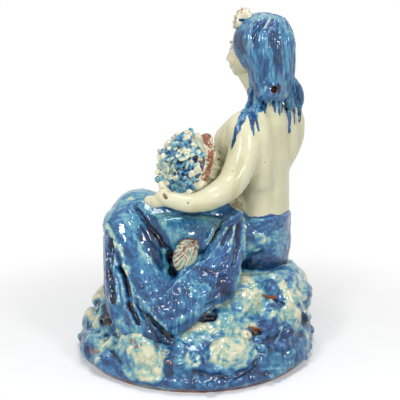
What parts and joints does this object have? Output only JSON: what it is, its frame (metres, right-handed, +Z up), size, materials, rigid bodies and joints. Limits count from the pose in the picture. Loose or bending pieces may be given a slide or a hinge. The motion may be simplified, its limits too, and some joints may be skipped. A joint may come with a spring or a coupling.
{
  "type": "mermaid figurine",
  "caption": "Glazed ceramic figurine of a mermaid seated on a rock, holding a basket of flowers in her lap; one hollow piece, open under its foot ring.",
  "frame": {"origin": "middle of the foot ring, on the surface that it stands on", "axes": "+Z up, -Y the side with the tail fin, -X the way the knees point"},
  "size_m": [0.1954, 0.1952, 0.281],
  "materials": {
    "glazed_ceramic": "glossy"
  },
  "bodies": {
    "root": {"mermaid_figurine": "glazed_ceramic"}
  },
  "joints": []
}
